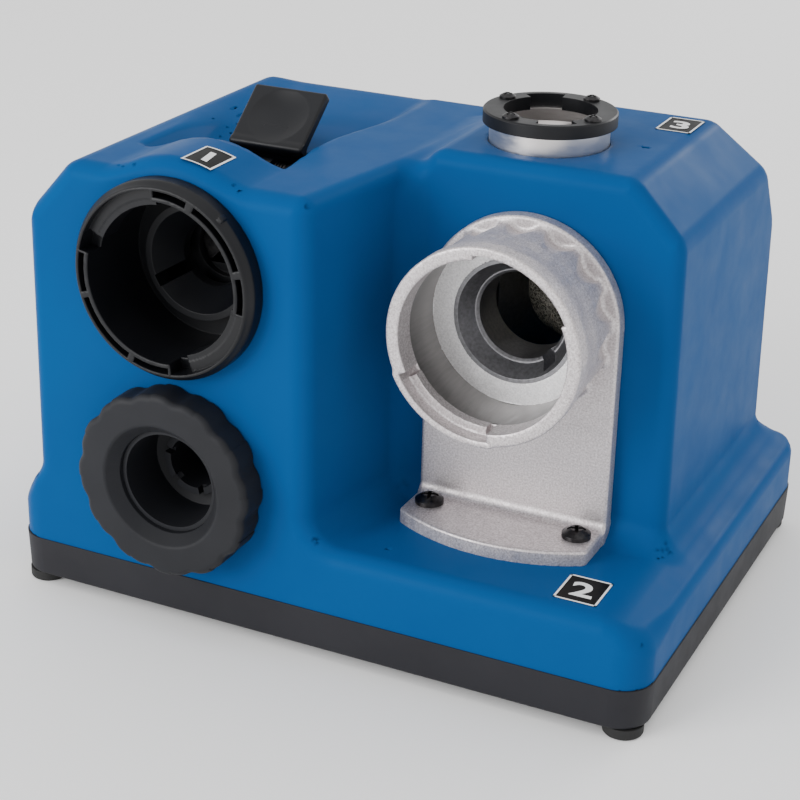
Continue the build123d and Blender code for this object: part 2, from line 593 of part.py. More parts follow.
def bearings():
    near = ring_of(SHAFT_R + FIT, 8.0, MOTOR_NEAR - 6, MOTOR_NEAR)
    far = ring_of(SHAFT_R + FIT, 8.0, MOTOR_FAR - 5, MOTOR_FAR + 1)
    return on_spindle(group([near, far]))


def motor_mount():
    """Bent steel plate that carries the motor and stands on the tray's posts."""
    z0, z1 = MOTOR_NEAR, MOTOR_NEAR + 2
    low = SHARP_Z - MOUNT_FOOT_Z
    plate = Pos(-low / 2 + 14, 0, (z0 + z1) / 2) * Box(low + 28, 58, z1 - z0)
    plate += Pos(-low + 1, 0, z0 - 11) * Box(2, 58, 24)
    plate -= rod_z(9.0, 0, 0, z0 - 1, z1 + 1)
    for x, y in MOTOR_HOLES:
        plate -= rod_z(1.7, x, y, z0 - 1, z1 + 1)
    plate -= rod_z(4.0, 20, -22, z0 - 1, z1 + 1)
    for y in (-21, 21):
        plate -= Pos(-low, y, z0 - 15) * Rot(0, 90, 0) * Cylinder(2.2, 12)
    return on_spindle(plate)




def mount_posts_and_screws():
    posts, screws = [], []
    for y in (-21, 21):
        top = (SPINDLE.location * Pos(-(SHARP_Z - MOUNT_FOOT_Z), y, MOTOR_NEAR - 15)).position
        post = rod_z(5.0, top.X, top.Y, FOOT_H + WALL, MOUNT_FOOT_Z) - rod_z(1.5, top.X, top.Y, 10, 30)
        posts.append(post)
        screws.append(Pos(top.X, top.Y, MOUNT_FOOT_Z + 2) * pan_screw(4.0, 2.6, 1.45, 12.0))
    return group(posts), group(screws)


def motor_screws():
    screws = []
    for x, y in MOTOR_HOLES:
        screws.append(Pos(x, y, MOTOR_NEAR + 2) * pan_screw(2.9, 2.0, 1.6, 6.0))
    return on_spindle(group(screws))


# ---------------------------------------------------------------- electrics
BOARD = (-96.0, -36.0, 10.0, 56.0)   # x0, x1, y0, y1
BOARD_Z = 14.0
SWITCH_X, SWITCH_Z = -62.0, 72.0
SWITCH_BODY_W, SWITCH_BODY_H = 19.2, 27.2
ROCKER_TILT = 11.0                   # either way from square to the wall
GLAND_X, GLAND_Z = -92.0, 29.5


def circuit_board():
    x0, x1, y0, y1 = BOARD
    return block(x0, x1, y0, y1, BOARD_Z, BOARD_Z + 1.6)


def board_posts():
    x0, x1, y0, y1 = BOARD
    spots = [(x, y) for x in (x0 + 4, x1 - 4) for y in (y0 + 4, y1 - 4)]
    return group([rod_z(3.0, x, y, FOOT_H + WALL, BOARD_Z) for x, y in spots])


def capacitor():
    return rod_z(8.0, BOARD[0] + 16, BOARD[2] + 15, BOARD_Z + 1.6, BOARD_Z + 27)


def bridge_rectifier():
    return block(BOARD[1] - 24, BOARD[1] - 9, BOARD[2] + 8, BOARD[2] + 12, BOARD_Z + 1.6, BOARD_Z + 17)


def terminal_block():
    body = block(BOARD[0] + 8, BOARD[0] + 38, BOARD[3] - 14, BOARD[3] - 4, BOARD_Z + 1.6, BOARD_Z + 12)
    for k in range(3):
        x = BOARD[0] + 13 + 10 * k
        body -= rod_z(2.0, x, BOARD[3] - 9, BOARD_Z + 6, BOARD_Z + 14)
        body -= rod_y(1.8, x, BOARD_Z + 5, BOARD[3] - 10, BOARD[3])
    return body


def cable_gland():
    profile = [(4.0, BACK_Y - 10), (6.8, BACK_Y - 10), (6.8, BACK_Y), (9.0, BACK_Y), (9.0, BACK_Y + 2.5),
               (6.4, BACK_Y + 3.5), (5.4, BACK_Y + 12), (4.0, BACK_Y + 12)]
    return turned_y(profile, GLAND_X, GLAND_Z)


def switch_housing():
    front = WALL_BACK_Y + 1.8
    bezel = Pos(SWITCH_X, WALL_BACK_Y + 0.9, SWITCH_Z) * Box(24, 1.8, 32)
    depth = 27.8
    body = Pos(SWITCH_X, front - depth / 2, SWITCH_Z) * Box(SWITCH_BODY_W, depth, SWITCH_BODY_H)
    well = block(SWITCH_X - 8, SWITCH_X + 8, WALL_BACK_Y - 12, front + 1, SWITCH_Z - 12, SWITCH_Z + 12)
    return bezel + body - well - rod_x(1.5, WALL_BACK_Y - 5, SWITCH_Z, SWITCH_X - 9, SWITCH_X + 9)


def switch_rocker():
    """Rocker resting in its off position, tilted so that the upper half stands out."""
    face = [(1, -10.4), (7, -10.4), (6.2, 0), (7, 10.4), (1, 10.4), (-2.5, 4), (-2.5, -4)]
    rocker = prism_yz(face, -7.6, 7.6)
    rocker += rod_x(1.5 - FIT, 0, 0, -8.8, 8.8)
    return Pos(SWITCH_X, WALL_BACK_Y - 5, SWITCH_Z) * Rot(-ROCKER_TILT, 0, 0) * rocker


# ---------------------------------------------------------------- number labels
def port_label_1():
    shell = rod_y(HUMP_R + 0.25, PORT_X, ALIGN_Z, -90, -73) - rod_y(HUMP_R, PORT_X, ALIGN_Z, -91, -72)
    wedge = [(PORT_X, ALIGN_Z), (PORT_X + 9, ALIGN_Z + 60), (PORT_X + 29, ALIGN_Z + 60)]
    return shell & prism_xz(wedge, -95, -70)


def port_label_2():
    return Pos(94.4, -75.5, LEDGE_Z + 0.12) * Box(15.1, 17.1, 0.24)


def port_label_3():
    return Pos(80.4, 36.6, TOP_RIGHT_Z + 0.12) * Box(12.8, 18.0, 0.24)


# ---------------------------------------------------------------- write every node
def main():
    posts, mount_screws = mount_posts_and_screws()
    nodes = {
        "upper_housing": upper_housing(),
        "base_tray": base_tray(),
        "rubber_feet": rubber_feet(),
        "tray_screws": tray_screws(),
        "sharpening_bracket": sharpening_bracket(),
        "sharpening_bush": sharpening_bush(),
        "bracket_screws": bracket_screws(),
        "splitting_tube": splitting_tube(),
        "splitting_ring": splitting_ring(),
        "ring_screws": ring_screws(),
        "alignment_ring": alignment_ring(),
        "alignment_cone": alignment_cone(),
        "alignment_jaw_left": alignment_jaw(-1),
        "alignment_jaw_right": alignment_jaw(1),
        "jaw_guide": jaw_guide(),
        "lever": lever(),
        "lever_pin": lever_pin(),
        "lever_bracket": lever_bracket(),
        "lever_spring": lever_spring(),
        "storage_socket": storage_socket(),
        "chuck_knob": chuck_knob(),
        "chuck_body": chuck_body(),
        "chuck_collet": chuck_collet(),
        "grinding_wheel": grinding_wheel(),
        "wheel_flange": wheel_flange(),
        "wheel_nut": wheel_nut(),
        "spindle_shaft": spindle_shaft(),
        "rotor_core": rotor_core(),
        "commutator": commutator(),
        "motor_can": motor_can(),
        "motor_magnets": motor_magnets(),
        "motor_end_cap": motor_end_cap(),
        "motor_brushes": brushes(),
        "motor_bearings": bearings(),
        "motor_mount": motor_mount(),
        "motor_screws": motor_screws(),
        "mount_posts": posts,
        "mount_screws": mount_screws,
        "circuit_board": circuit_board(),
        "board_posts": board_posts(),
        "capacitor": capacitor(),
        "bridge_rectifier": bridge_rectifier(),
        "terminal_block": terminal_block(),
        "cable_gland": cable_gland(),
        "switch_housing": switch_housing(),
        "switch_rocker": switch_rocker(),
        "port_label_1": port_label_1(),
        "port_label_2": port_label_2(),
        "port_label_3": port_label_3(),
    }
    os.makedirs("parts", exist_ok=True)
    for name, shape in nodes.items():
        export_step(shape, f"parts/{name}.step")


main()
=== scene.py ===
"""Bench drill bit sharpener: moulded blue housing, cast ports and black plastic fittings.

Shapes are worked out in millimetres in the part's own frame (+X right, +Y back, +Z up) as
distance fields, which are meshed with their sharp edges kept, then scaled to metres.
"""
import json
from math import cos, hypot, radians, sin

import bpy
import numpy as np
from mathutils import Matrix, Vector


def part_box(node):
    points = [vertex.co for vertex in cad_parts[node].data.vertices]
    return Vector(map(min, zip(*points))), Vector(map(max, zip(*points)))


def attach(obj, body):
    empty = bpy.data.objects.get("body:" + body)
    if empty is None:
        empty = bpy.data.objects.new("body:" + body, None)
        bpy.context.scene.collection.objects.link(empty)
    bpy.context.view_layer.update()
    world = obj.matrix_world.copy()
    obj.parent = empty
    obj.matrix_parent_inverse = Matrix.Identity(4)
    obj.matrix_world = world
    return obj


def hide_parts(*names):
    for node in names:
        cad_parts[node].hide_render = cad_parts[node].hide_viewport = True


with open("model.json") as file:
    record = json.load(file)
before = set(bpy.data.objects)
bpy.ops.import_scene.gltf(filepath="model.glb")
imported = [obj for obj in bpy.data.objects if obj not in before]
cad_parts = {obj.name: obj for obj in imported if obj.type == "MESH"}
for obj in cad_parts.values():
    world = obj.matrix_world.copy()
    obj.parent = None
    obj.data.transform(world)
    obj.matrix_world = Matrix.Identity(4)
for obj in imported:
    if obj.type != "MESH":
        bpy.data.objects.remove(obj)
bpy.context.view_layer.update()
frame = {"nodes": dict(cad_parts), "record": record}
MM = 0.001


def box_mm(node):
    low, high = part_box(node)
    return np.array(low) / MM, np.array(high) / MM


# ---------------------------------------------------------------- places, from the frame
HOUSING_LOW, HOUSING_HIGH = box_mm("upper_housing")
SEAM_Z = HOUSING_LOW[2]
HALF_W, HALF_D = HOUSING_HIGH[0], HOUSING_HIGH[1]
FRONT_Y, BACK_Y = -HALF_D, HALF_D
RING_LOW, RING_HIGH = box_mm("alignment_ring")
PORT_X = (RING_LOW[0] + RING_HIGH[0]) / 2
ALIGN_Z = (RING_LOW[2] + RING_HIGH[2]) / 2
KNOB_LOW, KNOB_HIGH = box_mm("chuck_knob")
STORE_Z = (KNOB_LOW[2] + KNOB_HIGH[2]) / 2
BUSH_LOW, BUSH_HIGH = box_mm("sharpening_bush")
SHARP_X = (BUSH_LOW[0] + BUSH_HIGH[0]) / 2
SHARP_Z = (BUSH_LOW[2] + BUSH_HIGH[2]) / 2
SPLIT_LOW, SPLIT_HIGH = box_mm("splitting_ring")
SPLIT_X = (SPLIT_LOW[0] + SPLIT_HIGH[0]) / 2
SPLIT_Y = (SPLIT_LOW[1] + SPLIT_HIGH[1]) / 2
LEVER_LOW, LEVER_HIGH = box_mm("lever")
SWITCH_LOW, SWITCH_HIGH = box_mm("switch_housing")
GLAND_LOW, GLAND_HIGH = box_mm("cable_gland")

# ---------------------------------------------------------------- sizes of the housing, in mm
WALL = 2.6
SKIRT_Z, LEDGE_Z = 36.5, 43.0
TOP_LEFT_Z, TOP_RIGHT_Z = 166.5, 172.0
BLOCK_Y = -36.0
HUMP_R = HOUSING_HIGH[2] - ALIGN_Z
HUMP_BACK_Y = -63.0
LEFT_FOOT_X, RIGHT_FOOT_X, BACK_FOOT_Y = -112.0, 108.4, 84.0
LEFT_SHOULDER = (-110.8, 146.0)    # (x, z) where the side starts to lean in
RIGHT_SHOULDER = (106.9, 152.6)
BACK_SHOULDER = (83.0, 126.0)      # (y, z) of both blocks
DRAFT = 0.012
PIN_HOLE = (78.7, 3.7)             # (x, y) of the small hole beside port 3
FLOOR_MARK = (24.7, -79.9)         # (x, y) of the small mark on the recess floor
VENT_PITCH, VENT_HALF = 8.0, 1.5


# ---------------------------------------------------------------- distance fields
def both(a, b, r=0.0):
    """Where two solids overlap, with the outer edge between them rounded to r."""
    u = np.maximum(r + a, 0)
    v = np.maximum(r + b, 0)
    return np.minimum(-r, np.maximum(a, b)) + np.hypot(u, v)


def either(a, b, r=0.0):
    """Two solids joined, with the inner corner between them filled to radius r."""
    u = np.maximum(r - a, 0)
    v = np.maximum(r - b, 0)
    return np.maximum(r, np.minimum(a, b)) - np.hypot(u, v)


def without(a, b, r=0.0):
    return both(a, -b, r)


def beyond(u, v, p, q):
    """Distance of the point (u, v) to the left of the line from p to q."""
    du, dv = q[0] - p[0], q[1] - p[1]
    return ((v - p[1]) * du - (u - p[0]) * dv) / hypot(du, dv)


def between(t, low, high):
    return np.maximum(low - t, t - high)


def bar(x, y, z, low, high, r=0.0):
    """Box between two corners, with its edges rounded to r."""
    q = [np.abs(t - (a + b) / 2) - (b - a) / 2 + r for t, a, b in zip((x, y, z), low, high)]
    out = np.sqrt(sum(np.maximum(t, 0) ** 2 for t in q))
    return out + np.minimum(np.maximum(np.maximum(q[0], q[1]), q[2]), 0) - r


def fade(t, start, end):
    """0 before start, 1 after end, smooth between."""
    s = np.clip((t - start) / (end - start), 0, 1)
    return s * s * (3 - 2 * s)


def polar_y(x, z, cx, cz):
    """Radius and angle in degrees about a line along Y; 0 at +X, 90 at +Z."""
    return np.hypot(x - cx, z - cz), np.degrees(np.arctan2(z - cz, x - cx))


def sector(radius, angle, start, sweep):
    """Distance from a wedge of a circle, across its two straight sides."""
    middle = start + sweep / 2
    off = np.abs((angle - middle + 180) % 360 - 180) - sweep / 2
    return radius * np.sin(np.radians(np.clip(off, -90, 90)))


# ---------------------------------------------------------------- meshing
def crossings(field, points, values, axis):
    """Where the surface crosses the grid's edges along one axis: index, place, side."""
    lower = [slice(None)] * 3
    upper = [slice(None)] * 3
    lower[axis] = slice(None, -1)
    upper[axis] = slice(1, None)
    a, b = values[tuple(lower)], values[tuple(upper)]
    index = np.argwhere((a < 0) != (b < 0))
    fa = a[tuple(index.T)]
    fb = b[tuple(index.T)]
    start = np.stack([points[k][index[:, k]] for k in range(3)], axis=1)
    step = points[axis][1] - points[axis][0]
    low, high = np.zeros(len(index)), np.ones(len(index))
    for _ in range(3):
        t = low + (high - low) * fa / (fa - fb)
        place = start.copy()
        place[:, axis] += t * step
        f = field(*place.T)
        same = (f < 0) == (fa < 0)
        low, fa = np.where(same, t, low), np.where(same, f, fa)
        high, fb = np.where(same, high, t), np.where(same, fb, f)
    return index, place, a[tuple(index.T)] < 0


def slopes(field, place):
    """Unit vectors along the field's steepest rise."""
    h = 0.01
    rise = []
    for k in range(3):
        off = np.zeros(3)
        off[k] = h
        rise.append(field(*(place + off).T) - field(*(place - off).T))
    rise = np.stack(rise, axis=1)
    return rise / np.maximum(np.linalg.norm(rise, axis=1), 1e-9)[:, None]


def contour(field, low, high, step):
    """Vertices and quads of the surface where the field is 0, with its creases kept."""
    points = [np.arange(a - 1.5 * step, b + 2 * step, step) for a, b in zip(low, high)]
    values = field(*np.meshgrid(*points, indexing="ij"))
    shape = np.array(values.shape)
    strides = np.array([shape[1] * shape[2], shape[2], 1])
    cells, places, normals, quads = [], [], [], []
    for axis in range(3):
        index, place, inside = crossings(field, points, values, axis)
        normal = slopes(field, place)
        b, c = (axis + 1) % 3, (axis + 2) % 3
        ring = []
        for db, dc in ((-1, -1), (0, -1), (0, 0), (-1, 0)):
            cell = index.copy()
            cell[:, b] += db
            cell[:, c] += dc
            ring.append(cell @ strides)
            places.append(place)
            normals.append(normal)
        cells.extend(ring)
        quad = np.stack(ring, axis=1)
        quads.append(np.where(inside[:, None], quad, quad[:, ::-1]))
    cells = np.concatenate(cells)
    places = np.concatenate(places)
    normals = np.concatenate(normals)
    ids, inverse = np.unique(cells, return_inverse=True)
    count = np.bincount(inverse).astype(float)

    def total(weights):
        return np.bincount(inverse, weights)

    middle = np.stack([total(places[:, k]) / count for k in range(3)], axis=1)
    offset = places - middle[inverse]
    reach = (normals * offset).sum(axis=1)
    square = np.empty((len(ids), 3, 3))
    right = np.empty((len(ids), 3))
    for i in range(3):
        right[:, i] = total(normals[:, i] * reach)
        for j in range(3):
            square[:, i, j] = total(normals[:, i] * normals[:, j])
    square += np.eye(3) * (0.04 * count)[:, None, None]
    move = np.linalg.solve(square, right[:, :, None])[:, :, 0]
    vertices = middle + np.clip(move, -0.6 * step, 0.6 * step)
    lookup = np.searchsorted(ids, np.concatenate(quads))
    return vertices, lookup


def shade(mesh, field):
    """Gives every face corner the field's own normal, taken just inside the face."""
    co = np.empty(len(mesh.vertices) * 3)
    mesh.vertices.foreach_get("co", co)
    co = co.reshape(-1, 3) / MM
    corner = np.empty(len(mesh.loops), dtype=int)
    mesh.loops.foreach_get("vertex_index", corner)
    sides = np.empty(len(mesh.polygons), dtype=int)
    mesh.polygons.foreach_get("loop_total", sides)
    face = np.repeat(np.arange(len(sides)), sides)
    centre = np.stack([np.bincount(face, co[corner, k]) for k in range(3)], axis=1) / sides[:, None]
    spots = 0.85 * co[corner] + 0.15 * centre[face]
    mesh.polygons.foreach_set("use_smooth", np.ones(len(sides), dtype=bool))
    mesh.normals_split_custom_set(slopes(field, spots).tolist())


def add_piece(name, mesh, body, material, nodes=()):
    piece = bpy.data.objects.new(name, mesh)
    bpy.context.scene.collection.objects.link(piece)
    mesh.materials.append(material)
    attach(piece, body)
    if nodes:
        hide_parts(*nodes)
    return piece


def carve(name, field, low, high, step, keep=1.0):
    """Mesh of a distance field; keep below 1 thins its faces out."""
    vertices, quads = contour(field, low, high, step)
    mesh = bpy.data.meshes.new(name)
    mesh.from_pydata((vertices * MM).tolist(), [], quads.tolist())
    if keep < 1:
        holder = bpy.data.objects.new(name + "_dense", mesh)
        bpy.context.scene.collection.objects.link(holder)
        thin = holder.modifiers.new("thin", "DECIMATE")
        thin.ratio = keep
        reduced = holder.evaluated_get(bpy.context.evaluated_depsgraph_get())
        mesh = bpy.data.meshes.new_from_object(reduced)
        bpy.data.objects.remove(holder)
    mesh.name = name
    shade(mesh, field)
    for vertex in mesh.vertices:
        vertex.co = np.clip(vertex.co, low * MM, high * MM)
    return mesh


# ---------------------------------------------------------------- materials
def new_material(name, colour, roughness, metallic=0.0):
    material = bpy.data.materials.new(name)
    material.use_nodes = True
    tree = material.node_tree
    shader = tree.nodes["Principled BSDF"]
    shader.inputs["Base Color"].default_value = (*colour, 1)
    shader.inputs["Roughness"].default_value = roughness
    shader.inputs["Metallic"].default_value = metallic
    return material, tree, shader


def noise(tree, scale, detail=4.0, rough=0.6, stretch=(1, 1, 1)):
    place = tree.nodes.new("ShaderNodeTexCoord")
    mapping = tree.nodes.new("ShaderNodeMapping")
    mapping.inputs["Scale"].default_value = stretch
    texture = tree.nodes.new("ShaderNodeTexNoise")
    texture.inputs["Scale"].default_value = scale
    texture.inputs["Detail"].default_value = detail
    texture.inputs["Roughness"].default_value = rough
    tree.links.new(place.outputs["Object"], mapping.inputs["Vector"])
    tree.links.new(mapping.outputs["Vector"], texture.inputs["Vector"])
    return texture.outputs["Fac"]


def spread(tree, value, low, high):
    ramp = tree.nodes.new("ShaderNodeMapRange")
    ramp.inputs["From Min"].default_value = 0.3
    ramp.inputs["From Max"].default_value = 0.7
    ramp.inputs["To Min"].default_value = low
    ramp.inputs["To Max"].default_value = high
    tree.links.new(value, ramp.inputs["Value"])
    return ramp.outputs["Result"]


def tint(tree, value, dark, light, start=0.3, end=0.7):
    ramp = tree.nodes.new("ShaderNodeValToRGB")
    ramp.color_ramp.elements[0].position = start
    ramp.color_ramp.elements[1].position = end
    ramp.color_ramp.elements[0].color = (*dark, 1)
    ramp.color_ramp.elements[1].color = (*light, 1)
    tree.links.new(value, ramp.inputs["Fac"])
    return ramp.outputs["Color"]


def bump(tree, value, shader, strength, distance, edge=0.0):
    node = tree.nodes.new("ShaderNodeBump")
    node.inputs["Strength"].default_value = strength
    node.inputs["Distance"].default_value = distance
    tree.links.new(value, node.inputs["Height"])
    if edge:
        bevel = tree.nodes.new("ShaderNodeBevel")
        bevel.inputs["Radius"].default_value = edge
        tree.links.new(bevel.outputs["Normal"], node.inputs["Normal"])
    tree.links.new(node.outputs["Normal"], shader.inputs["Normal"])


def moulded(name, dark, light, roughness, grain=900, depth=0.00002, edge=0.0, sheen=0.3):
    """Injection-moulded plastic: spark-eroded grain and slightly uneven gloss."""
    material, tree, shader = new_material(name, light, roughness)
    shader.inputs["Specular IOR Level"].default_value = sheen
    cloud = noise(tree, 18, 3)
    tree.links.new(tint(tree, cloud, dark, light), shader.inputs["Base Color"])
    tree.links.new(spread(tree, noise(tree, 55, 5), roughness - 0.05, roughness + 0.07),
                   shader.inputs["Roughness"])
    bump(tree, noise(tree, grain, 2, 0.5), shader, 0.35, depth, edge)
    return material


def cast_metal(name, dark, light, roughness):
    """Blasted die casting: fine sparkling grain over faint flow marks."""
    material, tree, shader = new_material(name, light, roughness, metallic=0.75)
    grain = noise(tree, 1500, 3, 0.7)
    tree.links.new(tint(tree, grain, dark, light, 0.32, 0.66), shader.inputs["Base Color"])
    tree.links.new(spread(tree, noise(tree, 240, 4), roughness - 0.08, roughness + 0.1),
                   shader.inputs["Roughness"])
    bump(tree, grain, shader, 0.55, 0.00006)
    return material


def bare_metal(name, dark, light, roughness, edge=0.0, stretch=(1, 1, 1)):
    """Machined or plated metal with fine tool marks."""
    material, tree, shader = new_material(name, light, roughness, metallic=1.0)
    marks = noise(tree, 900, 4, 0.5, stretch)
    tree.links.new(tint(tree, marks, dark, light), shader.inputs["Base Color"])
    tree.links.new(spread(tree, marks, roughness - 0.06, roughness + 0.08), shader.inputs["Roughness"])
    bump(tree, marks, shader, 0.2, 0.00002, edge)
    return material


def diamond_grit(name):
    material, tree, shader = new_material(name, (0.3, 0.28, 0.24), 0.45, metallic=0.6)
    place = tree.nodes.new("ShaderNodeTexCoord")
    cells = tree.nodes.new("ShaderNodeTexVoronoi")
    cells.inputs["Scale"].default_value = 1900
    tree.links.new(place.outputs["Object"], cells.inputs["Vector"])
    grains = tint(tree, cells.outputs["Color"], (0.07, 0.06, 0.045), (0.75, 0.72, 0.62), 0.25, 0.8)
    tree.links.new(grains, shader.inputs["Base Color"])
    bump(tree, cells.outputs["Distance"], shader, 1.0, 0.0002)
    return material


BLUE = moulded("housing_blue", (0.003, 0.06, 0.2), (0.0034, 0.066, 0.212), 0.36, grain=1400,
               depth=0.000012, sheen=0.025)
TRAY = moulded("tray_black", (0.008, 0.008, 0.011), (0.012, 0.012, 0.016), 0.6, grain=1100, depth=0.00004,
               edge=0.0006)
BLACK = moulded("black_plastic", (0.002, 0.0023, 0.0035), (0.0035, 0.004, 0.006), 0.42, grain=1300,
                depth=0.00002, edge=0.0003)
KNOB = moulded("knob_plastic", (0.005, 0.0055, 0.0078), (0.008, 0.0088, 0.012), 0.6, grain=1300,
               depth=0.00003, edge=0.0002)
RUBBER = moulded("rubber_black", (0.012, 0.012, 0.012), (0.02, 0.02, 0.02), 0.7, grain=700, depth=0.00005,
                 edge=0.0004)
CAST = cast_metal("cast_alloy", (0.38, 0.34, 0.345), (0.74, 0.7, 0.705), 0.46)
TURNED = bare_metal("turned_alloy", (0.66, 0.63, 0.62), (0.7, 0.67, 0.66), 0.34, edge=0.0002,
                    stretch=(0.3, 0.3, 3))
SEAT = cast_metal("machined_seat", (0.72, 0.71, 0.72), (0.97, 0.96, 0.97), 0.5)
# Painted shade: the bore's inner wall gets a dark grey base colour for the shade inside the tube.
BORE_PAINTED_SHADE = bare_metal("bore_painted_shade", (0.2, 0.195, 0.19), (0.27, 0.26, 0.255), 0.42, stretch=(1, 0.1, 1))
BUSH = bare_metal("bush_steel", (0.2, 0.2, 0.21), (0.3, 0.3, 0.315), 0.42, edge=0.0002)
STEEL = bare_metal("steel", (0.42, 0.42, 0.42), (0.55, 0.55, 0.55), 0.38, edge=0.0002)
# Black screw finish, also put on the lever's spring and pin and on the alignment jaws as painted shade.
SCREW_AND_PAINTED_SHADE = bare_metal("black_screw", (0.03, 0.03, 0.032), (0.055, 0.053, 0.054), 0.36, edge=0.0002)
GRIT = diamond_grit("grit")
COPPER = bare_metal("copper_brass", (0.55, 0.27, 0.14), (0.75, 0.42, 0.24), 0.3)
MAGNET = moulded("magnet_dark", (0.03, 0.03, 0.032), (0.05, 0.05, 0.052), 0.6, grain=500, depth=0.00004)
GREEN = moulded("board_green", (0.01, 0.12, 0.04), (0.015, 0.16, 0.055), 0.35, grain=300, depth=0.00001)
FILM = moulded("label_film", (0.001, 0.001, 0.001), (0.002, 0.002, 0.002), 0.4, grain=900, depth=0.000005,
               sheen=0.1)
WHITE = moulded("label_white", (0.78, 0.78, 0.78), (0.84, 0.84, 0.84), 0.45, grain=900, depth=0.000005)

MATERIAL_OF_SLOT = {
    "housing_blue": BLUE,
    "tray_black": TRAY,
    "rubber_black": RUBBER,
    "steel": STEEL,
    "black_screw": SCREW_AND_PAINTED_SHADE,
    "cast_alloy": CAST,
    "turned_alloy": TURNED,
    "black_plastic": BLACK,
    "grit": GRIT,
    "copper_brass": COPPER,
    "magnet_dark": MAGNET,
    "board_green": GREEN,
    "label_print": FILM,
}


def dress_nodes():
    """Gives every CAD node the material of its slot."""
    for part in frame["record"]["subparts"]:
        mesh = frame["nodes"][part["node"]].data
        mesh.materials.clear()
        mesh.materials.append(MATERIAL_OF_SLOT[part["material_slot"]])
    # The bush and the chuck get their own finishes. The lever's spring and pin, in the void under the
    # lever, and the alignment jaws deep in port 1 get the dark screw material as painted shade.
    own_finish_and_painted_shade = {"sharpening_bush": BUSH, "chuck_body": KNOB, "chuck_collet": KNOB, "lever_spring": SCREW_AND_PAINTED_SHADE,
               "lever_pin": SCREW_AND_PAINTED_SHADE, "alignment_jaw_left": SCREW_AND_PAINTED_SHADE, "alignment_jaw_right": SCREW_AND_PAINTED_SHADE}
    for node, material in own_finish_and_painted_shade.items():
        frame["nodes"][node].data.materials[0] = material


# ---------------------------------------------------------------- upper housing
def plinth_top(x, y, z):
    """Sloping ledge around three sides, and the level floor of the recess."""
    top = both(z - LEDGE_Z, beyond(x, z, (RIGHT_FOOT_X, LEDGE_Z), (HALF_W, SKIRT_Z)), 2.0)
    top = both(top, beyond(x, z, (-HALF_W, SKIRT_Z), (LEFT_FOOT_X, LEDGE_Z)), 2.0)
    return both(top, beyond(y, z, (BACK_FOOT_Y, LEDGE_Z), (BACK_Y, SKIRT_Z)), 2.0)


def left_block(x, y, z):
    body = both(z - TOP_LEFT_Z, beyond(x, z, LEFT_SHOULDER, (-92.6, TOP_LEFT_Z)), 3.2)
    body = both(body, beyond(x, z, (LEFT_FOOT_X, LEDGE_Z), LEFT_SHOULDER), 3.6)
    body = both(body, beyond(x, y, (8.2, BLOCK_Y), (-1.0, FRONT_Y)), 5.5)
    body = both(body, beyond(y, z, (49.0, TOP_LEFT_Z), BACK_SHOULDER), 5.0)
    return both(body, y - BACK_FOOT_Y + (z - LEDGE_Z) * DRAFT, 8.0)


def right_block(x, y, z):
    body = both(z - TOP_RIGHT_Z, beyond(x, z, (88.5, TOP_RIGHT_Z), RIGHT_SHOULDER), 2.6)
    body = both(body, beyond(x, z, RIGHT_SHOULDER, (RIGHT_FOOT_X, LEDGE_Z)), 2.8)
    body = both(body, beyond(x, z, (8.2, 160.0), (17.0, TOP_RIGHT_Z)), 3.0)
    body = both(body, BLOCK_Y - y, 5.4)
    body = both(body, beyond(y, z, (54.0, TOP_RIGHT_Z), BACK_SHOULDER), 5.0)
    return both(body, y - BACK_FOOT_Y + (z - LEDGE_Z) * DRAFT, 8.0)


def hump(x, y, z):
    return both(np.hypot(x - PORT_X, z - ALIGN_Z) - HUMP_R, y - HUMP_BACK_Y, 0.8)


def lever_pocket(x, y, z):
    pocket = both(HUMP_BACK_Y - y, -beyond(y, z, (HUMP_BACK_Y, 150.0), (28.0, TOP_LEFT_Z)))
    pocket = both(pocket, x + 25.0 + 4.0 * fade(y, -64.0, -20.0) - 3.0 * fade(y, -15.0, 25.0))
    return both(pocket, -beyond(x, z, (-86.0, 170.0), (-68.0, 150.0)), 4.0)


def skirt(x, y):
    """Plan outline with round corners."""
    corner = 12.0
    qx = np.abs(x) - HALF_W + corner
    qy = np.abs(y) - HALF_D + corner
    return np.hypot(np.maximum(qx, 0), np.maximum(qy, 0)) + np.minimum(np.maximum(qx, qy), 0) - corner


def housing_form(x, y, z):
    """Outer shape of the moulding, with no openings."""
    seam = 0.3 + 8.5 * (1 - fade(y, 26.0, 44.0))
    body = either(left_block(x, y, z), right_block(x, y, z), seam)
    body = either(body, plinth_top(x, y, z), 10.5)
    body = either(body, hump(x, y, z), 3.0)
    edge = 3.0 + 3.5 * fade(-y, 60.0, 84.0)
    body = both(body, skirt(x, y), edge)
    soft = 1.2 + 7.0 * fade(y, -40.0, 10.0)
    return without(body, lever_pocket(x, y, z), soft)


def cut_ports(shell, x, y, z):
    """Openings of the three ports and the chuck's parking socket."""
    for centre_z in (ALIGN_Z, STORE_Z):
        hole = np.maximum(np.hypot(x - PORT_X, z - centre_z) - 31.4, y + 80.0)
        shell = np.maximum(shell, -hole)
    bore = np.maximum(np.hypot(x - SHARP_X, z - SHARP_Z) - 22.3, between(y, -50.0, -20.0))
    shell = np.maximum(shell, -bore)
    mouth = np.maximum(np.hypot(x - SPLIT_X, y - SPLIT_Y) - 21.1, 160.0 - z)
    return without(shell, mouth, 0.5)


def cut_small_marks(shell, x, y, z):
    pin_hole = np.hypot((x - PIN_HOLE[0]) / 1.7, y - PIN_HOLE[1]) - 0.9
    shell = without(shell, np.maximum(pin_hole, TOP_RIGHT_Z - 1.4 - z), 0.3)
    mark = np.hypot((x - FLOOR_MARK[0]) / 1.5, y - FLOOR_MARK[1]) - 0.8
    return without(shell, np.maximum(mark, LEDGE_Z - 1.2 - z), 0.3)


